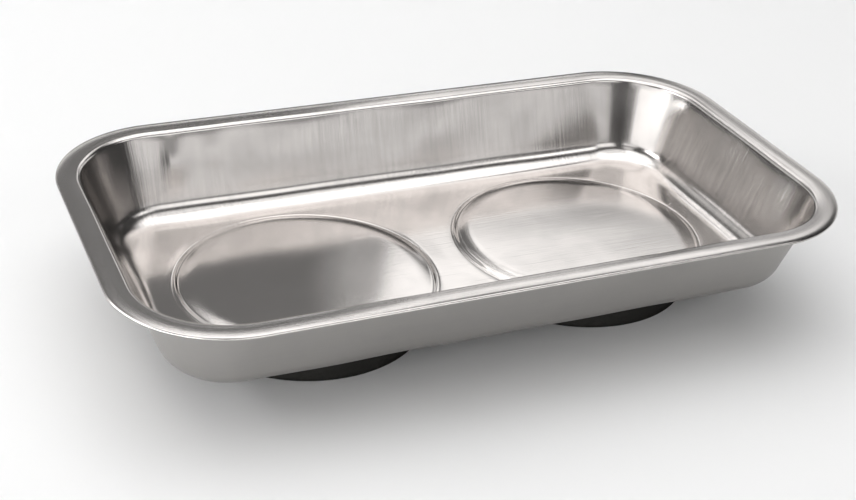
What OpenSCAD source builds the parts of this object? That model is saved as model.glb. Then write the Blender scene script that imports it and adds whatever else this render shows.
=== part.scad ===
// Magnetic parts tray: one drawn stainless pan on two round magnet bases.
// Millimetres, +Z up, X along the length. The origin is on the bench, under the middle of the pan.

/* [Pan] */
// Length over the rim
tray_length = 240; // [236:1:300]
// Width over the rim
tray_width = 138; // [137:1:180]
// Height of the rim above the bench
tray_height = 41.3; // [34:0.1:60]
// Thickness of the sheet
sheet = 0.5; // [0.4:0.1:0.8]
// Corner radius of the rim, seen from above
corner_radius = 36.4; // [30:0.2:55]
// Level width of the rim, out to its edge
rim_width = 6.2; // [5:0.1:8]
// Distance from the rim's edge in to where the level floor starts
floor_inset = 23.4; // [21:0.1:25.4]
// Radius of the bend from the floor into the wall, to the middle of the sheet
floor_bend = 8.7; // [4:0.1:9]
// Radius of the bend from the wall into the rim, to the middle of the sheet
rim_bend = 1.6; // [1:0.1:2.5]
// Gap inside the hem, where the rim's edge is folded under
hem_gap = 0.1; // [0.05:0.05:0.4]
// Width of the hem
hem_width = 4; // [2:0.5:4.5]

/* [Magnet pads] */
// Distance between the middles of the two pads
pad_spacing = 97.4; // [88:0.2:98]
// Height that each pad stands above the floor
pad_rise = 0.8; // [0.4:0.1:1.2]
// Width of the slope round each pad
pad_slope = 2.3; // [1.9:0.1:2.8]

/* [Magnets] */
// Outer radius of the ring magnet
magnet_radius = 36; // [22:0.5:36.5]
// Radius of the hole through the ring magnet
magnet_hole_radius = 16; // [15.5:0.5:18]
// Thickness of the ring magnet
magnet_thickness = 11; // [9:0.5:14]

/* [Rubber boots] */
// Thickness of the boot's outer wall
boot_wall = 3.7; // [1.5:0.1:4.2]
// Thickness of rubber under the magnet
boot_floor = 2.4; // [1.5:0.1:4]
// Thickness of the boot's wall inside the magnet's hole
sleeve_wall = 4.4; // [1.5:0.1:4.6]
// Thickness of the web that the screw clamps
web_thickness = 2; // [1:0.1:3]
// Bevel round the boot's lower edge
boot_bevel = 0.4; // [0.2:0.1:1.2]

/* [Fasteners] */
// Nominal diameter of the screw's thread
screw_diameter = 5; // [4:0.5:6]
// Length of the screw under its head
screw_length = 8; // [6:0.5:8]
// Diameter of the screw's head
head_diameter = 9.5; // [8:0.5:11]
// Height of the screw's head
head_height = 3; // [2:0.1:3.2]
// Diameter of the threaded boss
boss_diameter = 11; // [9:0.5:14]
// Length of the threaded boss, from the pan down
boss_length = 4.8; // [4:0.1:5.5]
// Diameter of the flange that is welded to the pan
weld_flange_diameter = 16; // [15:0.5:18]
// Thickness of the weld flange
weld_flange_thickness = 0.8; // [0.5:0.1:1.5]
// Outer diameter of the clamp washer
clamp_washer_diameter = 20; // [14:0.5:21]
// Outer diameter of the lock washer
lock_washer_diameter = 9; // [8.5:0.5:10]
// Thickness of both washers
washer_thickness = 1.2; // [0.8:0.1:1.4]

/* [Clearances] */
// Gap between the magnet and the rubber round it
magnet_clearance = 0.1; // [0.05:0.05:0.5]
// Gap between the boot and the slope of its pad
boot_clearance = 0.3; // [0.1:0.1:0.6]
// Gap round the screw in the washers and the web
screw_clearance = 0.25; // [0.1:0.05:0.4]
// Gap between the screw and the boss, where the thread is
thread_clearance = 0.05; // [0.02:0.01:0.1]
// Gap between the weld flange and the rubber round it
flange_clearance = 0.5; // [0.2:0.1:1]

/* [Hidden] */
$fn = 96;

// Heights of the stack, from the bench up
pad_underside = boot_floor + magnet_thickness;
floor_middle = pad_underside - pad_rise + sheet / 2;
web_top = pad_underside - boss_length;
web_bottom = web_top - web_thickness;
clamp_washer_bottom = web_bottom - washer_thickness;
lock_washer_bottom = clamp_washer_bottom - washer_thickness;
rim_middle = tray_height - sheet / 2;

// Radii of the magnet base
boot_radius = magnet_radius + magnet_clearance + boot_wall;
sleeve_radius = magnet_hole_radius - magnet_clearance;
well_radius = sleeve_radius - sleeve_wall;
pad_inner = boot_radius + boot_clearance;
pad_outer = pad_inner + pad_slope;
screw_radius = screw_diameter / 2;
screw_hole_radius = screw_radius + screw_clearance;

// The wall is the line that touches both the floor's bend and the rim's bend
bend_run = floor_inset - rim_width;
bend_rise = rim_middle - rim_bend - floor_middle - floor_bend;
wall_lean = atan2(bend_run, bend_rise) - asin((floor_bend + rim_bend) / norm([bend_run, bend_rise]));
bend_angle = 90 - wall_lean;
hem_bend = (hem_gap + sheet) / 2;
hem_centre = hem_bend + sheet / 2;

// Sheet carried past a join, so that the pieces it joins overlap
strip = 1;
bend_steps = 9;

// A pad's slope is two equal arcs, one turning up and one turning level
slope_angle = 2 * atan(pad_rise / pad_slope);
slope_bend = pad_slope / (2 * sin(slope_angle));
slope_steps = 4;

function reverse(list) = [for (i = [len(list) - 1 : -1 : 0]) list[i]];

// Points of an arc about (x, y), with its angle measured from straight down, turning outwards
function arc(x, y, radius, from, to, steps) = [for (i = [0 : steps])
    let (a = from + (to - from) * i / steps) [x + radius * sin(a), y - radius * cos(a)]];

// One face of the sheet from the floor out to the hem's end, d away from its middle, d > 0 inside
function pan_face(d) = concat(
    [[-floor_inset - 2 * strip, floor_middle + d]],
    arc(-floor_inset, floor_middle + floor_bend, floor_bend - d, 0, bend_angle, bend_steps),
    arc(-rim_width, rim_middle - rim_bend, rim_bend + d, bend_angle - 180, -180, bend_steps),
    arc(-hem_centre, rim_middle - hem_bend, hem_bend + d, 180, 0, bend_steps),
    [[-hem_width, rim_middle - 2 * hem_bend - d]]);

// One face of a raised pad from its middle out past its slope, d away from the sheet's middle
function pad_face(d) = concat(
    [[0, floor_middle + pad_rise + d]],
    reverse(arc(pad_inner, floor_middle + pad_rise - slope_bend, slope_bend + d,
        180 - slope_angle, 180, slope_steps)),
    arc(pad_outer, floor_middle + slope_bend, slope_bend - d, -slope_angle, 0, slope_steps),
    [[pad_outer + strip, floor_middle + d]]);

module pan_section() {
    polygon(concat(pan_face(sheet / 2), reverse(pan_face(-sheet / 2))));
}

module pad_section() {
    polygon(concat(pad_face(sheet / 2), reverse(pad_face(-sheet / 2))));
}

// A straight length of the pan's wall along X, its rim's edge at y = 0 and its floor towards -Y
module wall_run_along_x(length) {
    rotate([90, 0, 90])
        linear_extrude(height = length, center = true)
            pan_section();
}

module wall_corner() {
    rotate_extrude(angle = 90)
        translate([corner_radius, 0])
            pan_section();
}

module wall_loop() {
    length = tray_length - 2 * corner_radius;
    width = tray_width - 2 * corner_radius;
    for (turn = [0, 180]) {
        rotate([0, 0, turn])
            translate([0, tray_width / 2, 0])
                wall_run_along_x(length);
        rotate([0, 0, turn + 90])
            translate([0, tray_length / 2, 0])
                wall_run_along_x(width);
    }
    for (side = [0, 1], end = [0, 1])
        mirror([side, 0, 0])
            mirror([0, end, 0])
                translate([length / 2, width / 2, 0])
                    wall_corner();
}

module rounded_plate(length, width, radius, thickness) {
    linear_extrude(height = thickness, center = true)
        union() {
            square([length, width - 2 * radius], center = true);
            square([length - 2 * radius, width], center = true);
            for (x = [-1, 1], y = [-1, 1])
                translate([x * (length / 2 - radius), y * (width / 2 - radius)])
                    circle(r = radius);
        }
}

module on_both_pads() {
    for (side = [-1, 1])
        translate([side * pad_spacing / 2, 0, 0])
            children();
}

module pan_floor() {
    inset = floor_inset + strip;
    difference() {
        translate([0, 0, floor_middle])
            rounded_plate(tray_length - 2 * inset, tray_width - 2 * inset, corner_radius - inset, sheet);
        on_both_pads()
            cylinder(r = pad_outer + strip / 2, h = tray_height);
    }
    on_both_pads()
        rotate_extrude()
            pad_section();
}

module pan() {
    color("silver")
        union() {
            wall_loop();
            pan_floor();
        }
}

// Internally threaded boss, welded by its flange to the underside of the pad
module weld_boss() {
    color("darkgray")
        difference() {
            union() {
                translate([0, 0, web_top])
                    cylinder(d = boss_diameter, h = boss_length);
                translate([0, 0, pad_underside - weld_flange_thickness])
                    cylinder(d = weld_flange_diameter, h = weld_flange_thickness);
            }
            translate([0, 0, web_top - strip])
                cylinder(r = screw_radius + thread_clearance, h = boss_length + 2 * strip);
        }
}

module ring_magnet() {
    color("dimgray")
        translate([0, 0, boot_floor])
            difference() {
                cylinder(r = magnet_radius, h = magnet_thickness);
                translate([0, 0, -strip])
                    cylinder(r = magnet_hole_radius, h = magnet_thickness + 2 * strip);
            }
}

// Cup round the magnet, with a sleeve through its hole and a web that the screw clamps
module rubber_boot() {
    boss_room = weld_flange_diameter / 2 + flange_clearance;
    pocket_radius = magnet_radius + magnet_clearance;
    color("black")
        rotate_extrude()
            polygon([
                [boot_radius - boot_bevel, 0],
                [boot_radius, boot_bevel],
                [boot_radius, pad_underside],
                [pocket_radius, pad_underside],
                [pocket_radius, boot_floor],
                [sleeve_radius, boot_floor],
                [sleeve_radius, pad_underside],
                [boss_room, pad_underside],
                [boss_room, web_top],
                [screw_hole_radius, web_top],
                [screw_hole_radius, web_bottom],
                [well_radius, web_bottom],
                [well_radius, boot_bevel],
                [well_radius + boot_bevel, 0]
            ]);
}

module washer(diameter, bottom) {
    translate([0, 0, bottom])
        difference() {
            cylinder(d = diameter, h = washer_thickness);
            translate([0, 0, -strip])
                cylinder(r = screw_hole_radius, h = washer_thickness + 2 * strip);
        }
}

module clamp_washer() {
    color("lightgray")
        washer(clamp_washer_diameter, clamp_washer_bottom);
}

// Spring washer with its one cut
module lock_washer() {
    cut_width = 0.8;
    color("gray")
        difference() {
            washer(lock_washer_diameter, lock_washer_bottom);
            translate([0, -cut_width / 2, lock_washer_bottom - strip])
                cube([lock_washer_diameter, cut_width, washer_thickness + 2 * strip]);
        }
}

// Pan-head screw, its head down, with a cross recess
module screw() {
    slot_width = 1.2;
    slot_length = 5;
    slot_depth = 1.8;
    head_radius = head_diameter / 2;
    head_bottom = lock_washer_bottom - head_height;
    edge_height = head_height / 3;
    color("silver")
        difference() {
            union() {
                translate([0, 0, lock_washer_bottom - edge_height])
                    cylinder(r = head_radius, h = edge_height);
                translate([0, 0, head_bottom])
                    cylinder(r1 = head_radius - edge_height, r2 = head_radius, h = head_height - edge_height);
                translate([0, 0, lock_washer_bottom - edge_height / 2])
                    cylinder(r = screw_radius, h = screw_length + edge_height / 2);
            }
            for (turn = [0, 90])
                rotate([0, 0, turn])
                    translate([-slot_length / 2, -slot_width / 2, head_bottom - strip])
                        cube([slot_length, slot_width, slot_depth + strip]);
        }
}

module left() {
    translate([-pad_spacing / 2, 0, 0])
        children();
}

module right() {
    translate([pad_spacing / 2, 0, 0])
        children();
}

pan();
left() weld_boss();  // left_weld_boss
left() ring_magnet();  // left_ring_magnet
left() rubber_boot();  // left_rubber_boot
left() clamp_washer();  // left_clamp_washer
left() lock_washer();  // left_lock_washer
left() screw();  // left_screw
right() weld_boss();  // right_weld_boss
right() ring_magnet();  // right_ring_magnet
right() rubber_boot();  // right_rubber_boot
right() clamp_washer();  // right_clamp_washer
right() lock_washer();  // right_lock_washer
right() screw();  // right_screw
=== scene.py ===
import math

import bpy
import numpy as np
from mathutils import Matrix, Vector


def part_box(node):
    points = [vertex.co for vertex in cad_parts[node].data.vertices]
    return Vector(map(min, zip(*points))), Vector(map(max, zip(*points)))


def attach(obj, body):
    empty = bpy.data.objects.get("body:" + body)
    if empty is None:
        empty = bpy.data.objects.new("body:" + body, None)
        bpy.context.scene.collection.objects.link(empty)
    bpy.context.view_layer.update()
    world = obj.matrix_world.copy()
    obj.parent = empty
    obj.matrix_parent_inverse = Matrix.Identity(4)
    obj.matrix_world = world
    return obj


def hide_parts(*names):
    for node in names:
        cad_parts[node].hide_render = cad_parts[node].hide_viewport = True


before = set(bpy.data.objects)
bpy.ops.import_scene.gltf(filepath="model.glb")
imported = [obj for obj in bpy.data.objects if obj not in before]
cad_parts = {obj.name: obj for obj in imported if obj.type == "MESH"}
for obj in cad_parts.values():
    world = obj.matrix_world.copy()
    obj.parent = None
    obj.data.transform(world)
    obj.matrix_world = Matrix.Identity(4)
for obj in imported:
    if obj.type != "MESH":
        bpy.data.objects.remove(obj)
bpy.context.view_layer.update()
mm = 0.001
joinGrid = 0.0005 * mm  # points in one cell of this grid are one point
sides = ("left", "right")
print("frame loaded:", len(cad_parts), "nodes")

# The camera stands in front and to the left, above the tray, with a slight roll
cameraSetup = {
    "azimuth": -24.54, "elevation": 29.6, "roll": 3.53,  # degrees
    "aim": (-5.14, 3.15, 14.39), "distance": 496.8,  # mm
    "lens": 62.75, "nearest": 0.01, "farthest": 20,  # mm, m, m
}


# Unit vector from the tray out towards an azimuth and elevation, azimuth 0 being straight in front
def outward(azimuth, elevation):
    a, e = math.radians(azimuth), math.radians(elevation)
    return Vector((math.sin(a) * math.cos(e), -math.cos(a) * math.cos(e), math.sin(e)))


def placeCamera(setup):
    camera = bpy.data.objects.new("camera", bpy.data.cameras.new("camera"))
    bpy.context.scene.collection.objects.link(camera)
    back = outward(setup["azimuth"], setup["elevation"])
    turn = math.radians(setup["azimuth"])
    right = Vector((math.cos(turn), math.sin(turn), 0))
    axes = Matrix((right, back.cross(right), back)).transposed()
    camera.rotation_mode = "QUATERNION"
    roll = Matrix.Rotation(math.radians(setup["roll"]), 3, "Z")
    camera.rotation_quaternion = (axes @ roll).to_quaternion()
    camera.location = Vector(setup["aim"]) * mm + back * setup["distance"] * mm
    camera.data.lens = setup["lens"]
    camera.data.clip_start, camera.data.clip_end = setup["nearest"], setup["farthest"]
    bpy.context.scene.camera = camera


placeCamera(cameraSetup)
print("camera placed")


# Shader maths: a wire is an output socket that takes part in sums
class Wire:
    def __init__(self, look, socket):
        self.look, self.socket = look, socket

    def maths(self, operation, *values, clamp=False):
        return self.look.node("ShaderNodeMath", {"operation": operation, "use_clamp": clamp}, values)

    def __add__(self, other):
        return self.maths("ADD", self, other)

    def __sub__(self, other):
        return self.maths("SUBTRACT", self, other)

    def __rsub__(self, other):
        return self.maths("SUBTRACT", other, self)

    def __mul__(self, other):
        return self.maths("MULTIPLY", self, other)

    __radd__ = __add__
    __rmul__ = __mul__

    def clamped(self):
        return self.maths("ADD", self, 0, clamp=True)


# A material whose nodes are written as expressions
class Look:
    def __init__(self, name, home=bpy.data.materials):
        self.material = home.new(name)
        self.material.use_nodes = True
        self.tree = self.material.node_tree
        self.tree.nodes.clear()

    # Settings come first, then the sockets, by name or in order; stops are a ramp's (place, value) pairs
    def node(self, kind, settings=None, sockets=(), out=0):
        made = self.tree.nodes.new(kind)
        for key, value in (settings or {}).items():
            if key == "stops":
                while len(made.color_ramp.elements) < len(value):
                    made.color_ramp.elements.new(1)
                for element, (place, shade) in zip(made.color_ramp.elements, value):
                    element.position, element.color = place, (shade, shade, shade, 1)
            else:
                setattr(made, key, value)
        for key, value in sockets.items() if isinstance(sockets, dict) else enumerate(sockets):
            if isinstance(value, Wire):
                self.tree.links.new(value.socket, made.inputs[key])
            else:
                made.inputs[key].default_value = value
        return Wire(self, made.outputs[out])

    def place(self):
        return self.node("ShaderNodeTexCoord", out="Object")

    def attribute(self, name, out="Fac"):
        return self.node("ShaderNodeAttribute", {"attribute_name": name}, out=out)

    def stretched(self, vector, scale):
        return self.node("ShaderNodeVectorMath", {"operation": "MULTIPLY"}, [vector, scale])

    def noise(self, vector, scale, detail=2.0, roughness=0.5, distortion=0.0):
        return self.node("ShaderNodeTexNoise", {}, {
            "Vector": vector, "Scale": scale, "Detail": detail,
            "Roughness": roughness, "Distortion": distortion})

    def ramp(self, value, stops):
        return self.node("ShaderNodeValToRGB", {"stops": stops}, [value])

    def mixed(self, factor, first, second):
        return self.node("ShaderNodeMix", {"data_type": "RGBA"}, {0: factor, 6: first, 7: second}, out=2)

    def bump(self, height, distance):
        return self.node("ShaderNodeBump", {}, {"Height": height, "Strength": 1, "Distance": distance})

    def finish(self, sockets, shader="ShaderNodeBsdfPrincipled", output="ShaderNodeOutputMaterial"):
        end = self.tree.nodes.new(output)
        self.tree.links.new(self.node(shader, {}, sockets).socket, end.inputs["Surface"])
        return self.material


# Quads between neighbouring rows and columns of a grid of points; a wrapped side joins its last line
# to its first
def gridQuads(rows, columns, wrapRows=False, wrapColumns=False):
    r = np.arange(rows if wrapRows else rows - 1)
    c = np.arange(columns if wrapColumns else columns - 1)
    a, b = np.meshgrid(r, c, indexing="ij")
    nextA, nextB = (a + 1) % rows, (b + 1) % columns
    return np.stack([a * columns + b, a * columns + nextB,
                     nextA * columns + nextB, nextA * columns + b], -1).reshape(-1, 4)


# Points of an arc about (x, z), its angle measured from straight down and turning outwards
def arcPoints(x, z, radius, start, end, steps):
    angle = np.radians(np.linspace(start, end, steps + 1))
    return np.column_stack([x + radius * np.sin(angle), z - radius * np.cos(angle)])


# Evenly spaced points strictly between two points
def between(first, last, steps):
    share = np.linspace(0, 1, steps + 1)[1:-1, None]
    return np.asarray(first) * (1 - share) + np.asarray(last) * share


# A closed outline with an arc at each corner (x, z, radius). Known fault, left as it is: each arc
# starts on its first side but turns away from the second, so the corners are scooped inwards and the
# sides between them slant
def roundedOutline(corners, steps=4):
    corners = np.asarray(corners, float)
    points, radii = corners[:, :2], corners[:, 2]
    runs = []
    for here, before, after, radius in zip(points, np.roll(points, 1, 0), np.roll(points, -1, 0), radii):
        toBefore = (before - here) / np.linalg.norm(before - here)
        toAfter = (after - here) / np.linalg.norm(after - here)
        half = math.acos(np.clip(toBefore @ toAfter, -1, 1)) / 2
        middle = (toBefore + toAfter) / np.linalg.norm(toBefore + toAfter)
        centre = here + middle * radius / math.sin(half)
        start = here + toBefore * radius / math.tan(half) - centre
        sweep = math.pi - 2 * half
        turning = np.sign(start[0] * middle[1] - start[1] * middle[0]) * -1
        angle = turning * -np.linspace(0, sweep, steps + 1)
        runs.append(centre + np.column_stack([
            start[0] * np.cos(angle) - start[1] * np.sin(angle),
            start[0] * np.sin(angle) + start[1] * np.cos(angle)]))
    return np.concatenate(runs)


# Points and quads made into a piece on the root body, in place of its CAD node. Points that coincide
# are joined, and a quad that closes on a pole becomes a triangle. Attributes are values per point
def makePiece(name, points, quads, material, attributes=None, closedShape=True):
    keys, first, index = np.unique(np.round(points / joinGrid).astype(np.int64), axis=0,
                                   return_index=True, return_inverse=True)
    points, quads = points[first], index.reshape(-1)[quads]
    if closedShape:  # its signed volume tells which way the quads face
        a, b, c, d = (points[quads[:, i]] for i in range(4))
        volume = (np.cross(a, b) * c).sum() + (np.cross(a, c) * d).sum()
        quads = quads if volume > 0 else quads[:, ::-1]
    same = quads == np.roll(quads, -1, 1)
    closed = same.any(1)
    keep = np.array([[1, 2, 3], [0, 2, 3], [0, 1, 3], [0, 1, 2]])
    triangles = np.take_along_axis(quads[closed], keep[same[closed].argmax(1)], 1)
    mesh = bpy.data.meshes.new(name)
    mesh.from_pydata(points.tolist(), [], quads[~closed].tolist() + triangles.tolist())
    for key, values in (attributes or {}).items():
        values = np.asarray(values, np.float32)[first]
        vector = values.ndim == 2
        layer = mesh.attributes.new(key, "FLOAT_VECTOR" if vector else "FLOAT", "POINT")
        layer.data.foreach_set("vector" if vector else "value", values.ravel())
    mesh.shade_smooth()
    mesh.validate()
    mesh.materials.append(material)
    piece = bpy.data.objects.new(name + "_visual", mesh)
    bpy.context.scene.collection.objects.link(piece)
    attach(piece, "root")
    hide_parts(name)
    return piece


# The pan is one sheet: a profile carried round the rim's rounded rectangle, and a floor of two halves,
# each running inwards to the middle of its raised pad
panShape = {  # mm
    "sheet": 0.5, "cornerRadius": 36.4, "rimWidth": 6.2, "floorInset": 23.4,
    "floorBend": 8.7, "rimBend": 1.6, "hemBend": 0.3, "hemWidth": 4,
    "padRise": 0.8, "padSlope": 2.3, "padGap": 0.3, "padCrown": 0.12,
    "shoulderRise": 0.45, "shoulderWidth": 5, "grooveDepth": 0.08, "grooveWidth": 0.7,
    "rimCrown": 0.2, "wallWave": 0.13, "floorWave": 0.03, "waveLength": 34,
    # How far the walls' unevenness and draw marks take to come in at the foot and go out at the head
    "waveFoot": 5, "waveHead": 2, "markFoot": 6, "markHead": 1, "rimFade": 0.6, "floorCalm": 6,
    # Dents in the back wall: x, z, half width, half height, depth
    "dents": [(-77, 31, 3, 6, 0.6), (-63, 33, 4, 5, 0.2), (20, 30, 9, 8, 0.15)],
    # Steps round the rim, then across the profile, then rings from the walls in to a pad's middle
    "longSteps": 100, "shortSteps": 36, "cornerSteps": 24, "middleSteps": 44,
    "bendSteps": 14, "wallSteps": 12, "edgeSteps": 10, "rimSteps": 5, "hemSteps": 4,
    "levelRings": 6, "grooveRings": 11, "slopeRings": 15, "shoulderRings": 13, "crownRings": 22,
}


# Middle of the sheet from the floor's edge out to the hem's end, as (distance out from the rim's edge,
# height): an arc, a straight wall tangent to it, an arc, the rim, and a half turn for the hem
def panProfile(shape, floorZ, rimZ):
    inset, rim, floorBend, rimBend, hem = (
        shape[k] for k in ("floorInset", "rimWidth", "floorBend", "rimBend", "hemBend"))
    run, rise = inset - rim, rimZ - rimBend - floorZ - floorBend
    lean = math.degrees(math.atan2(run, rise) - math.asin((floorBend + rimBend) / math.hypot(run, rise)))
    hemCentre = hem + shape["sheet"] / 2
    bottom = arcPoints(-inset, floorZ + floorBend, floorBend, 0, 90 - lean, shape["bendSteps"])
    top = arcPoints(-rim, rimZ - rimBend, rimBend, -90 - lean, -180, shape["edgeSteps"])
    fold = arcPoints(-hemCentre, rimZ - hem, hem, 180, 0, shape["edgeSteps"])
    end = np.array([[-shape["hemWidth"], rimZ - 2 * hem]])
    return np.concatenate([
        bottom, between(bottom[-1], top[0], shape["wallSteps"]), top,
        between(top[-1], fold[0], shape["rimSteps"]), fold,
        between(fold[-1], end[0], shape["hemSteps"]), end])


# Share of the wall at each distance out: none on the floor or the rim, all of it between
def onWall(shape, distance, foot, head):
    low, high = -shape["floorInset"], -shape["rimWidth"]
    return np.interp(distance, [low, low + foot, high - head, high], [0, 1, 1, 0])


# Points and outward directions round a rounded rectangle, from its front middle and to the right
def rimPath(shape, length, width):
    radius = shape["cornerRadius"]
    x, y = length / 2 - radius, width / 2 - radius
    half = shape["longSteps"] // 2
    across = np.linspace(0, 1, half + 1)[:, None]
    upright = np.linspace(0, 1, shape["shortSteps"] + 1)[1:-1, None]
    quarter = np.radians(np.linspace(-90, 0, shape["cornerSteps"] + 1))[:, None]
    front = np.hstack([across * x, 0 * across - y]), across * 0 + [[0, -1]]
    corner = np.array([[x, -y]]) + quarter * 0, np.hstack([np.cos(quarter), np.sin(quarter)])
    side = np.hstack([0 * upright + x, (2 * upright - 1) * y]), upright * 0 + [[1, 0]]
    quarterTurn = [np.concatenate([front[i][:-1], corner[i], side[i]]) for i in (0, 1)]
    flip = np.array([[1, -1]])
    rightHalf = [np.concatenate([quarterTurn[i], corner[i][::-1] * flip, front[i][::-1][1:] * flip])
                 for i in (0, 1)]
    return [np.concatenate([rightHalf[i], -rightHalf[i][1:-1]]) for i in (0, 1)]


# Soft unevenness of a pressed sheet: a sum of seeded plane waves, each a cosine along its own direction
def unevenness(points, height, length, seed):
    chance = np.random.default_rng(seed)
    total = np.zeros(len(points))
    for wave in range(9):
        direction = chance.normal(size=3) * (1, 1, 0.7)
        direction /= np.linalg.norm(direction)
        stretch = length * chance.uniform(0.7, 1.8)
        total += np.cos(points @ direction * 2 * math.pi / stretch + chance.uniform(0, 2 * math.pi))
    return height * total / 3  # seldom beyond 1.5 heights


# Height of the sheet's middle above the floor, at a distance from a pad's middle: level, two arcs, level,
# with a parabola for the pad's crown and its soft shoulder, and a sine squared for the groove round it
def padHeight(shape, distance, inner):
    rise, slope = shape["padRise"], shape["padSlope"]
    angle = 2 * math.atan(rise / slope)
    bend = slope / (2 * math.sin(angle))
    out = np.clip(distance - inner, 0, slope)
    upper = rise - bend + np.sqrt(bend ** 2 - np.minimum(out, slope / 2) ** 2)
    lower = bend - np.sqrt(bend ** 2 - np.minimum(slope - out, slope / 2) ** 2)
    crown = shape["padCrown"] * (1 - np.minimum(distance / inner, 1) ** 2)
    inside = np.clip((inner - distance) / shape["shoulderWidth"], 0, 1)
    groove = np.clip((distance - inner - slope) / shape["grooveWidth"], 0, 1)
    return (np.where(out < slope / 2, upper, lower) + crown + shape["shoulderRise"] * (1 - (1 - inside) ** 2)
            - shape["grooveDepth"] * np.sin(math.pi * groove) ** 2)


def makePan(shape, material):
    panLow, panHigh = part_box("pan")
    bootLow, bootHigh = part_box("right_rubber_boot")
    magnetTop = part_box("left_ring_magnet")[1].z / mm
    length, width = (panHigh.x - panLow.x) / mm, (panHigh.y - panLow.y) / mm
    sheet = shape["sheet"]
    padX = (bootLow.x + bootHigh.x) / 2 / mm
    padInner = (bootHigh.x - bootLow.x) / 2 / mm + shape["padGap"]
    padOuter = padInner + shape["padSlope"]
    padEdge = padOuter + shape["grooveWidth"]
    floorZ = magnetTop - shape["padRise"] + sheet / 2
    rimZ = panHigh.z / mm - sheet / 2

    profile = panProfile(shape, floorZ, rimZ)
    across = (profile[:, 0] + shape["rimWidth"] / 2) / (shape["rimWidth"] / 2)
    droop = np.where(across > -1, across ** 2, np.clip((profile[:, 1] - floorZ) / (rimZ - floorZ), 0, 1))
    profile[:, 1] -= shape["rimCrown"] * droop  # the rim is slightly crowned
    path, out = rimPath(shape, length, width)
    edge = path + out * shape["cornerRadius"]
    plan = edge[:, None] + out[:, None] * profile[None, :, :1]
    wall = np.concatenate([plan, np.broadcast_to(profile[None, :, 1:], plan.shape[:2] + (1,))], -1)
    climbing = np.gradient(profile, axis=0)
    climbing /= np.linalg.norm(climbing, axis=1)[:, None]
    inwards = np.concatenate([-out[:, None] * climbing[None, :, 1:],
                              np.broadcast_to(climbing[None, :, :1], plan.shape[:2] + (1,))], -1)
    free = onWall(shape, profile[:, 0], shape["waveFoot"], shape["waveHead"])[None, :, None]
    wave = unevenness(wall.reshape(-1, 3), shape["wallWave"], shape["waveLength"], 4).reshape(wall.shape[:2])
    for dentX, dentZ, wide, tall, depth in shape["dents"]:  # each a bell curve in x and z
        away = ((wall[..., 0] - dentX) / wide) ** 2 + ((wall[..., 2] - dentZ) / tall) ** 2
        wave += depth * np.exp(-away) * (wall[..., 1] > 0)
    wall += inwards * free * wave[..., None]
    rows, columns = wall.shape[:2]
    quads = [gridQuads(rows, columns, wrapRows=True)]
    points = [wall.reshape(-1, 3)]

    around = np.linalg.norm(np.roll(edge, -1, 0) - edge, axis=1)
    perimeter = around.sum()
    turn = 2 * math.pi * np.concatenate([[0], np.cumsum(around)[:-1]]) / perimeter
    climb = np.concatenate([[0], np.cumsum(np.linalg.norm(np.diff(profile, axis=0), axis=1))])
    reach = perimeter / (2 * math.pi)
    drawMap = np.stack(np.broadcast_arrays(
        reach * np.cos(turn)[:, None], reach * np.sin(turn)[:, None], climb[None]), -1).reshape(-1, 3)
    marked = onWall(shape, profile[:, 0], shape["markFoot"], shape["markHead"])
    onRim = np.clip((profile[:, 0] + shape["rimWidth"] + shape["rimFade"]) / shape["rimFade"], 0, 1)
    attributes = {"drawMap": drawMap * mm}
    for key, values in (("wallShare", marked), ("rimShare", onRim)):
        attributes[key] = np.broadcast_to(values, (rows, columns)).ravel()

    # The floor's right half: each ray runs from the half's boundary to the pad's middle
    count = rows // 2 + 1
    border = wall[:count, 0, :2]
    seam = between(border[-1], border[0], shape["middleSteps"])
    border = np.concatenate([border, seam])
    radial = border - [[padX, 0]]
    ray = radial / np.linalg.norm(radial, axis=1)[:, None]
    inner = np.concatenate([
        np.linspace(padEdge, padOuter, shape["grooveRings"])[:-1],
        np.linspace(padOuter, padInner, shape["slopeRings"]),
        padInner - np.linspace(0, shape["shoulderWidth"], shape["shoulderRings"])[1:],
        (padInner - shape["shoulderWidth"]) * np.linspace(1, 0, shape["crownRings"])[1:]])
    rings = [border * (1 - s) + ([[padX, 0]] + ray * padEdge) * s
             for s in np.linspace(0, 1, shape["levelRings"])[:-1]]
    rings += [[[padX, 0]] + ray * r for r in inner]
    half = np.stack(rings, 1)
    for side in (1, -1):
        flat = half * [[[side, 1]]]
        height = floorZ + padHeight(shape, np.linalg.norm(flat - [[[side * padX, 0]]], axis=-1), padInner)
        patch = np.concatenate([flat, height[..., None]], -1)
        wave = unevenness(patch.reshape(-1, 3), shape["floorWave"], shape["waveLength"], 9)
        fromWall = np.linalg.norm(half - border[:, None], axis=-1)
        calm = np.clip(fromWall / shape["floorCalm"], 0, 1)  # none at the walls
        patch[..., 2] += (wave.reshape(calm.shape) + shape["floorWave"] * 1.5) * calm
        made = gridQuads(*patch.shape[:2], wrapRows=True)
        quads.append((made if side > 0 else made[:, ::-1])[:, ::-1] + sum(map(len, points)))
        points.append(patch.reshape(-1, 3))
    points = np.concatenate(points)
    for key, values in attributes.items():  # all are nought on the floor
        floorValues = np.zeros((len(points) - len(values),) + values.shape[1:])
        attributes[key] = np.concatenate([values, floorValues])
    pan = makePiece("pan", points * mm, np.concatenate(quads), material, attributes,
                    closedShape=False)
    thicken = pan.modifiers.new("sheet", "SOLIDIFY")
    thicken.thickness, thicken.offset = sheet * mm, 0
    thicken.use_even_offset = True
    return pan


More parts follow.
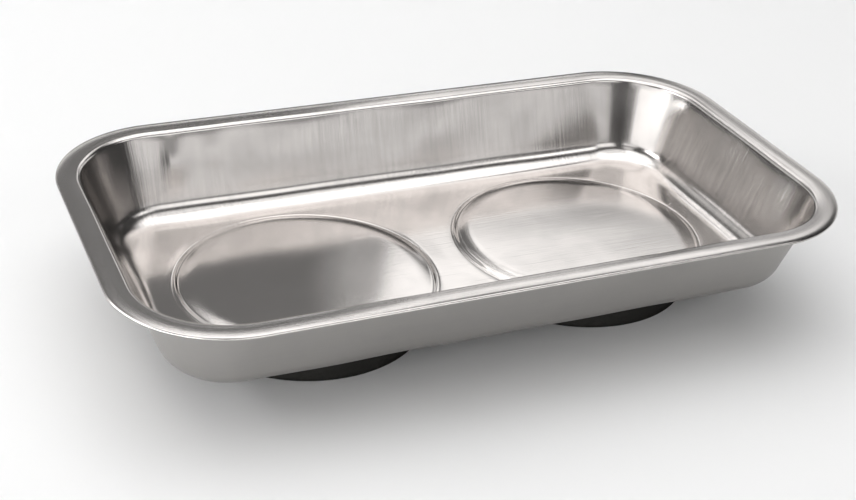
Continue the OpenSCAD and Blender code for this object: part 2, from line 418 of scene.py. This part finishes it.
# The outside's colour is painted shade: a darker copy of the steel's colour, standing in for the shadowed
# floor the outer walls reflect
stainlessFinish = {
    "colour": (0.64, 0.61, 0.59, 1), "outsideShadeColour": (0.415, 0.402, 0.388, 1),
    "hazeColour": (0.36, 0.352, 0.345, 1),
    "roughness": 0.105, "clouding": 0.12, "outsideRoughness": 0.26,
    "drawHeight": 0.055, "brushHeight": 0.009, "grainHeight": 0.03,  # mm
    "scratchDepth": 0.004,
    # Folds pressed into the right pad's far edge: x, y, turn in degrees, length, width, depth
    "folds": [(89.0, 6.5, 78, 9, 1.0, 0.10), (90.5, 8.5, 30, 7, 0.9, 0.08), (90.5, 5.5, 128, 6, 0.9, 0.07)],
}


# Satin sheet: upright draw marks on the walls, brushing along the rim and the floor, cloudy gloss, fine
# scratches and a few pressed folds; the outside is rougher than the inside, and its colour is darker as
# painted shade
def stainlessLook(finish):
    look = Look("satinStainless")
    place, draw = look.place(), look.attribute("drawMap", "Vector")
    wall, rim = look.attribute("wallShare"), look.attribute("rimShare")
    facing = look.node("ShaderNodeNewGeometry", out="Normal")
    up = look.node("ShaderNodeSeparateXYZ", {}, [facing], out="Z")
    outside = (up * -8 - 0.8).clamped()
    floor = 1 - (wall + rim).clamped()

    clouds = look.noise(place, 42, 4, 0.55, 0.4)
    patches = look.ramp(look.noise(look.stretched(place, (1, 1, 0.6)), 30, 2), [(0.42, 0), (0.66, 1)])
    marks = look.noise(look.stretched(draw, (1, 1, 0.02)), 1500, 3, 0.6)
    wide = look.noise(look.stretched(draw, (1, 1, 0.06)), 650, 4, 0.65)
    brushing = look.noise(look.stretched(draw, (0.03, 0.03, 1)), 1100, 4, 0.65)
    grain = look.noise(look.stretched(place, (0.035, 1, 1)), 1700, 3, 0.6)
    height = wall * marks * (patches * 0.8 + 0.2) * finish["drawHeight"]
    height = height + (rim + outside * wall).clamped() * brushing * finish["grainHeight"]
    height = height + floor * grain * finish["brushHeight"]
    for turn, shift in ((17, 0.3), (-38, 0.7), (74, 1.1)):  # three families of hairline scratches
        along = look.node("ShaderNodeMapping", {}, {
            "Vector": place, "Location": (shift, shift, 0), "Rotation": (0, 0, math.radians(turn)),
            "Scale": (0.05, 1, 0.3)})
        line = look.ramp(look.noise(along, 900, 1, 0.5), [(0.70, 0), (0.76, 1)])
        height = height - floor * line * finish["scratchDepth"]
    for x, y, turn, length, width, depth in finish["folds"]:
        across = look.node("ShaderNodeMapping", {"vector_type": "TEXTURE"}, {
            "Vector": place, "Location": (x * mm, y * mm, 0), "Rotation": (0, 0, math.radians(turn)),
            "Scale": (length / 2 * mm, width / 2 * mm, 1)})
        apart = look.node("ShaderNodeSeparateXYZ", {}, [across])
        sideways = Wire(look, apart.socket.node.outputs["Y"])
        ridge = (1 - apart * apart).clamped() * (1 - sideways * sideways).clamped() * floor
        height = height - ridge * depth
    normal = look.bump(height, mm)
    roughness = finish["roughness"] + finish["clouding"] * (clouds - 0.4).clamped()
    roughness = roughness + wall * (marks * 0.04 + 0.04)
    roughness = roughness + rim * 0.06 + outside * finish["outsideRoughness"]
    # Painted shade: the outside gets the darker copy of the steel's colour in place of the shadowed floor it
    # reflects
    colour = look.mixed(outside, finish["colour"], finish["outsideShadeColour"])
    streaks = (wide * 2.4 - 1).clamped() * wall * (1 - outside) * (patches * 0.4 + 0.08)
    haze = (clouds * 1.5 - 0.62).clamped() * 0.5 + brushing * (rim + outside).clamped() * 0.35 + streaks
    colour = look.mixed(haze, colour, finish["hazeColour"])
    return look.finish({"Base Color": colour, "Metallic": 1, "Roughness": roughness, "Normal": normal})


pan = makePan(panShape, stainlessLook(stainlessFinish))
print("pan made:", len(pan.data.polygons), "faces")


# A closed outline (distance from the axis, height) carried round an upright axis
def lathe(outline, centreX, segments):
    angle = np.linspace(0, 2 * math.pi, segments, endpoint=False)[:, None]
    area = (outline[:, 0] * np.roll(outline[:, 1], -1) - np.roll(outline[:, 0], -1) * outline[:, 1]).sum()
    outline = outline if area > 0 else outline[::-1]
    points = np.stack([centreX + outline[:, 0] * np.cos(angle), outline[:, 0] * np.sin(angle),
                       outline[:, 1] + 0 * angle], -1)
    return points.reshape(-1, 3), gridQuads(segments, len(outline), True, True)


rubberFinish = {"colour": (0.010, 0.0095, 0.0082, 1), "dust": (0.035, 0.033, 0.03, 1), "roughness": 0.58,
                "grainHeight": 0.02}  # mm


# Moulded rubber: fine grain, a little dust that settles in patches, gloss that varies softly
def rubberLook(finish):
    look = Look("mouldedRubber")
    place = look.place()
    grain = look.noise(place, 2600, 3, 0.6)
    patches = look.noise(place, 70, 3, 0.6)
    dust = (look.noise(place, 800, 4, 0.7) * patches * 1.6 - 0.35).clamped()
    return look.finish({
        "Base Color": look.mixed(dust, finish["colour"], finish["dust"]),
        "Roughness": finish["roughness"] + patches * 0.2, "Specular IOR Level": 0.18,
        "Normal": look.bump(grain, finish["grainHeight"] * mm)})


ferriteFinish = {"colour": (0.075, 0.075, 0.08, 1), "speck": (0.16, 0.16, 0.165, 1), "roughness": 0.55,
                 "poreHeight": 0.03}  # mm


# Sintered ferrite: ground flats with specks and pores
def ferriteLook(finish):
    look = Look("sinteredFerrite")
    place = look.place()
    specks = look.ramp(look.noise(place, 1600, 2, 0.7), [(0.55, 0), (0.68, 1)])
    pores = look.noise(place, 500, 4, 0.6)
    return look.finish({
        "Base Color": look.mixed(specks, finish["colour"], finish["speck"]),
        "Roughness": finish["roughness"] + pores * 0.2, "Metallic": 0,
        "Normal": look.bump(pores - specks * 0.3, finish["poreHeight"] * mm)})


metalFinishes = {  # colour, stained colour, roughness, height of the tool marks in mm
    "zinc_steel": ((0.70, 0.71, 0.72, 1), (0.62, 0.60, 0.52, 1), 0.22, 0.004),
    "spring_steel": ((0.27, 0.27, 0.28, 1), (0.16, 0.14, 0.12, 1), 0.34, 0.006),
    "plain_steel": ((0.45, 0.44, 0.42, 1), (0.34, 0.30, 0.26, 1), 0.30, 0.010),
}


# Fastener steel: rings left by turning or rolling, and faint stains
def fastenerLook(slot):
    colour, stain, roughness, marksHeight = metalFinishes[slot]
    look = Look(slot.replace("_steel", "Steel"))
    place = look.place()
    stains = (look.noise(place, 260, 4, 0.6) * 1.6 - 0.6).clamped()
    marks = look.noise(look.stretched(place, (0.15, 0.15, 1)), 4200, 2, 0.5)
    fine = look.noise(place, 1900, 3, 0.6)
    return look.finish({
        "Base Color": look.mixed(stains, colour, stain), "Metallic": 1,
        "Roughness": roughness + fine * 0.12 + stains * 0.1,
        "Normal": look.bump(marks + fine * 0.5, marksHeight * mm)})


# An outline that closes on the axis at both ends, as rows of rings; lift changes the height at each point
def turned(radius, height, centreX, segments, lift):
    angle = np.linspace(0, 2 * math.pi, segments, endpoint=False)[None]
    radius, height = np.asarray(radius)[:, None], np.asarray(height)[:, None]
    x, y = radius * np.cos(angle), radius * np.sin(angle)
    z = height + 0 * angle + lift(x, y)
    return np.stack([centreX + x, y, z], -1).reshape(-1, 3), gridQuads(len(radius), segments, False, True)


screwShape = {  # mm, and the edge's first angle in degrees
    "shank": 5, "pitch": 0.8, "threadDepth": 0.45, "crown": 0.35,
    "slotWidth": 1.2, "slotLength": 5, "slotDepth": 1.8, "slotEdge": 0.06,
    "headEdge": 1.2, "headSide": 0.5, "edgeStart": 6, "seatEdge": 0.15,
    "seatInset": 0.3, "neckInset": 0.1, "threadStart": 0.3, "threadEnd": 0.5, "tipInset": 0.5, "tipFlat": 1,
    "faceSteps": 40, "edgeSteps": 9, "threadSteps": 90, "around": 96,
}


# Pan-head screw, head down: a crowned face with a cross recess, a rounded edge, and a helical thread whose
# depth is a triangle wave of height over pitch less turn
def makeScrew(name, shape, material):
    nodeLow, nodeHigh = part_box(name)
    centreX, top, bottom = (nodeLow.x + nodeHigh.x) / 2 / mm, nodeHigh.z / mm, nodeLow.z / mm
    headRadius, shank = (nodeHigh.x - nodeLow.x) / 2 / mm, shape["shank"] / 2
    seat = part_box(name.replace("screw", "lock_washer"))[0].z / mm
    face, around = headRadius - shape["headEdge"], shape["around"]
    faceR = np.linspace(0, face, shape["faceSteps"])
    edgeAngle = np.radians(np.linspace(shape["edgeStart"], 90, shape["edgeSteps"]))
    roundR = face + shape["headEdge"] * np.sin(edgeAngle)
    faceZ = bottom + shape["crown"] * (faceR / face) ** 2
    roundZ = faceZ[-1] + (seat - shape["headSide"] - faceZ[-1]) * (1 - np.cos(edgeAngle))
    threadZ = np.linspace(seat + shape["threadStart"], top - shape["threadEnd"], shape["threadSteps"])
    seatEdge = shape["seatEdge"]
    radius = np.concatenate([
        faceR, roundR,
        [headRadius, headRadius - seatEdge, shank + shape["seatInset"], shank - shape["neckInset"]],
        0 * threadZ + shank, [shank - shape["tipInset"], shape["tipFlat"], 0]])
    height = np.concatenate([
        faceZ, roundZ, [seat - seatEdge, seat, seat, seat + seatEdge], threadZ, [top, top, top]])
    half, width, reach = shape["slotEdge"], shape["slotWidth"] / 2, shape["slotLength"] / 2

    def recess(x, y):
        def slotAlong(a, b):
            return (np.clip((width - np.abs(b)) / half / 2 + 0.5, 0, 1)
                    * np.clip((reach - np.abs(a)) / half / 2 + 0.5, 0, 1))
        inside = (np.arange(len(radius)) < len(faceR))[:, None]
        return shape["slotDepth"] * np.maximum(slotAlong(x, y), slotAlong(y, x)) * inside

    points, quads = turned(radius, height, centreX, around, recess)
    grid = points.reshape(len(radius), around, 3)
    first = len(radius) - len(threadZ) - 3
    rows = slice(first, first + len(threadZ))
    turn = np.linspace(0, 1, around, endpoint=False)[None]
    phase = (threadZ[:, None] / shape["pitch"] - turn) % 1
    runOut = np.clip(np.minimum(threadZ - threadZ[0], threadZ[-1] - threadZ) / shape["pitch"], 0, 1)[:, None]
    cut = 1 - shape["threadDepth"] / shank * (1 - np.abs(2 * phase - 1)) * runOut
    grid[rows, :, 0] = centreX + (grid[rows, :, 0] - centreX) * cut
    grid[rows, :, 1] *= cut
    return makePiece(name, points * mm, quads, material)


# Millimetres, and degrees for half the gap and for the slant
lockWasherShape = {"hole": 5.5, "gap": 9, "slant": 12, "edge": 0.15, "steps": 91}


# Spring washer: a rounded rectangle carried round most of a circle, its two ends cut on the same slant
def makeLockWasher(name, shape, material):
    nodeLow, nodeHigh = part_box(name)
    clampLow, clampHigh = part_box(name.replace("lock_washer", "clamp_washer"))
    centreX = (clampLow.x + clampHigh.x) / 2 / mm
    outer, inner = (nodeHigh.y - nodeLow.y) / 2 / mm, shape["hole"] / 2
    bottom, top, edge = nodeLow.z / mm, nodeHigh.z / mm, shape["edge"]
    section = roundedOutline([
        (inner, bottom, edge), (outer, bottom, edge), (outer, top, edge), (inner, top, edge)])
    along = np.linspace(shape["gap"], 360 - shape["gap"], shape["steps"])[:, None]
    slant = shape["slant"] * ((section[:, 1] - bottom) / (top - bottom) - 0.5)[None]
    angle = np.radians(along + slant)
    ring = np.stack([centreX + section[:, 0] * np.cos(angle), section[:, 0] * np.sin(angle),
                     section[:, 1] + 0 * angle], -1)
    ends = ring[[0, -1]].mean(1, keepdims=True) + 0 * ring[[0, -1]]  # each end closes on its middle
    ring = np.concatenate([ends[:1], ring, ends[1:]])
    return makePiece(name, ring.reshape(-1, 3) * mm, gridQuads(*ring.shape[:2], False, True), material)


# Outlines of the turned pieces, from each node's outer radius, bottom and top: (distance from the axis,
# height, corner radius), in mm
bootShape = {"pocket": 36.1, "floor": 2.4, "sleeve": 15.9, "room": 8.5, "webTop": 8.6, "webBottom": 6.6,
             "hole": 2.75, "well": 11.5, "footEdge": 0.9, "lipEdge": 0.5, "pocketEdge": 0.3,
             "holeEdge": 0.2, "wellEdge": 0.5, "wellMouth": 0.7}
magnetShape = {"hole": 16, "edge": 0.6, "holeEdge": 0.5}
washerShape = {"hole": 2.75, "footEdge": 0.3, "holeFoot": 0.2, "topEdge": 0.1}
bossShape = {"bore": 2.55, "outer": 5.5, "flange": 0.8, "footEdge": 0.4, "neckEdge": 0.2,
             "flangeEdge": 0.15, "faceEdge": 0.1, "boreTop": 0.15, "boreFoot": 0.25}


def bootOutline(radius, bottom, top):
    s = bootShape
    edge, holeEdge = s["pocketEdge"], s["holeEdge"]
    return [(radius, bottom, s["footEdge"]), (radius, top, s["lipEdge"]),
            (s["pocket"], top, edge), (s["pocket"], s["floor"], edge),
            (s["sleeve"], s["floor"], edge), (s["sleeve"], top, edge), (s["room"], top, edge),
            (s["room"], s["webTop"], holeEdge), (s["hole"], s["webTop"], holeEdge),
            (s["hole"], s["webBottom"], holeEdge), (s["well"], s["webBottom"], s["wellEdge"]),
            (s["well"], bottom, s["wellMouth"])]


def magnetOutline(radius, bottom, top):
    s = magnetShape
    return [(radius, bottom, s["edge"]), (radius, top, s["edge"]),
            (s["hole"], top, s["holeEdge"]), (s["hole"], bottom, s["holeEdge"])]


def washerOutline(radius, bottom, top):
    s = washerShape
    return [(radius, bottom, s["footEdge"]), (radius, top, s["topEdge"]),
            (s["hole"], top, s["topEdge"]), (s["hole"], bottom, s["holeFoot"])]


def bossOutline(radius, bottom, top):
    s = bossShape
    under = top - s["flange"]
    return [(s["outer"], bottom, s["footEdge"]), (s["outer"], under, s["neckEdge"]),
            (radius, under, s["flangeEdge"]), (radius, top, s["faceEdge"]),
            (s["bore"], top, s["boreTop"]), (s["bore"], bottom, s["boreFoot"])]


turnedPieces = [  # name, outline, slot, steps round the axis
    ("rubber_boot", bootOutline, "black_rubber", 192),
    ("ring_magnet", magnetOutline, "ferrite", 160),
    ("clamp_washer", washerOutline, "zinc_steel", 128),
    ("weld_boss", bossOutline, "plain_steel", 96),
]
finishes = {"black_rubber": rubberLook(rubberFinish), "ferrite": ferriteLook(ferriteFinish)}
finishes.update({slot: fastenerLook(slot) for slot in metalFinishes})
for side in sides:
    for part, outlineOf, slot, segments in turnedPieces:
        name = side + "_" + part
        nodeLow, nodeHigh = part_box(name)
        corners = outlineOf((nodeHigh.x - nodeLow.x) / 2 / mm, nodeLow.z / mm, nodeHigh.z / mm)
        points, quads = lathe(roundedOutline(corners), (nodeLow.x + nodeHigh.x) / 2 / mm, segments)
        makePiece(name, points * mm, quads, finishes[slot])
    makeScrew(side + "_screw", screwShape, finishes["zinc_steel"])
    makeLockWasher(side + "_lock_washer", lockWasherShape, finishes["spring_steel"])
print("magnet bases made")


# Studio: a pale floor and curved soft boxes on a sphere round the tray, seen only in the lighting
studio = {
    "floorColour": (0.86, 0.86, 0.86, 1), "floorSize": 30, "reach": 1.6, "edge": 5,  # m, m, degrees
    "azimuthStep": 2.5, "elevationStep": 2, "noFade": 99,  # degrees
    "fill": 0.05, "under": 0.8, "backdrop": 0.92,
}
softBoxes = {  # azimuth from and to, elevation from and to, strength
    "leftStrip": (-112, -44, 0, 9, 14), "leftStripWide": (-130, -26, 0, 9, 14),
    "leftLow": (-105, -42, 6, 25, 1.7), "leftWindow": (-135, -85, 22, 35, 9),
    "leftBack": (-165, -118, 25, 50, 0.8), "leftHigh": (-110, -40, 50, 72, 2.5),
    "backLow": (145, 255, 15, 25, 1.9), "backRightLow": (100, 145, 3, 25, 1),
    "backWhite": (128, 163, 25, 46, 1.6), "backCorner": (148, 186, 37, 51, 3),
    "backHigh": (150, 195, 46, 72, 2.4), "backHighLeft": (195, 270, 46, 72, 2.4),
    "top": (-180, 180, 54, 90, 2.1), "topFront": (-45, 45, 54, 75, 0.5),
    "frontCard": (-5, 42, 7, 20, 1.1), "frontLow": (-40, 30, 0, 9, 5),
    "frontKey": (-15, 30, 22, 44, 1.7), "frontRight": (30, 60, 30, 44, 3),
    "backMid": (158, 205, 22, 45, 0.2), "frontLeftHigh": (-60, -30, 34, 52, 1),
    "frontLeft": (-65, -30, 18, 34, 1.4),
}


def stagePiece(name, points, quads, material):
    mesh = bpy.data.meshes.new(name)
    mesh.from_pydata(points.tolist(), [], quads.tolist())
    mesh.materials.append(material)
    piece = bpy.data.objects.new(name, mesh)
    bpy.context.scene.collection.objects.link(piece)
    return piece


def makeFloor(setup):
    look = Look("paleFloor")
    speckle = look.noise(look.place(), 300, 3)
    material = look.finish({"Base Color": setup["floorColour"], "Specular IOR Level": 0.0,
                            "Roughness": 0.9 + speckle * 0.1})
    half = setup["floorSize"] / 2
    corners = np.array([(-half, -half, 0), (half, -half, 0), (half, half, 0), (-half, half, 0)])
    stagePiece("studioFloor", corners, np.array([[0, 1, 2, 3]]), material)


# One soft box: part of a sphere between two azimuths and two elevations, its glow fading at the edges
def makeSoftBox(name, azimuths, elevations, strength, setup):
    wide, tall = azimuths[1] - azimuths[0], elevations[1] - elevations[0]
    a = np.linspace(*azimuths, int(abs(wide) / setup["azimuthStep"]) + 2)
    e = np.linspace(*elevations, int(abs(tall) / setup["elevationStep"]) + 2)
    turn, rise = np.meshgrid(np.radians(a), np.radians(e), indexing="ij")
    points = setup["reach"] * np.stack([np.sin(turn) * np.cos(rise), -np.cos(turn) * np.cos(rise),
                                        np.sin(rise)], -1)
    look = Look(name)
    shine = look.finish({"Strength": look.attribute("glow") * strength}, "ShaderNodeEmission")
    box = stagePiece(name, points.reshape(-1, 3), gridQuads(len(a), len(e)), shine)
    far = setup["noFade"]  # a full circle, the horizon and the zenith have no edge to fade at
    inA = np.minimum(a - azimuths[0], azimuths[1] - a) if wide < 360 else 0 * a + far
    inE = np.minimum(e - elevations[0] + (far if elevations[0] == 0 else 0),
                     elevations[1] - e + (far if elevations[1] == 90 else 0))
    glow = np.clip(np.minimum(inA[:, None], inE[None]) / setup["edge"], 0, 1)
    layer = box.data.attributes.new("glow", "FLOAT", "POINT")
    layer.data.foreach_set("value", glow.ravel().astype(np.float32))
    box.visible_camera = False


makeFloor(studio)
for name, (azimuthFrom, azimuthTo, elevationFrom, elevationTo, strength) in softBoxes.items():
    makeSoftBox(name, (azimuthFrom, azimuthTo), (elevationFrom, elevationTo), strength, studio)


# The world is dim above the floor, pale below it, and pale where the camera sees past the floor's end
def makeWorld(setup):
    look = Look("studio", bpy.data.worlds)
    direction = look.node("ShaderNodeTexCoord", out="Generated")
    below = (look.node("ShaderNodeSeparateXYZ", {}, [direction], out="Z") * -20).clamped()
    seen = look.node("ShaderNodeLightPath", out="Is Camera Ray")
    pale = below * setup["under"] + (1 - below) * setup["fill"]
    strength = seen * setup["backdrop"] + (1 - seen) * pale
    bpy.context.scene.world = look.finish(
        {"Color": (1, 1, 1, 1), "Strength": strength}, "ShaderNodeBackground", "ShaderNodeOutputWorld")


makeWorld(studio)
bpy.context.scene.view_settings.view_transform = "Standard"
print("studio lit:", len(softBoxes), "soft boxes")
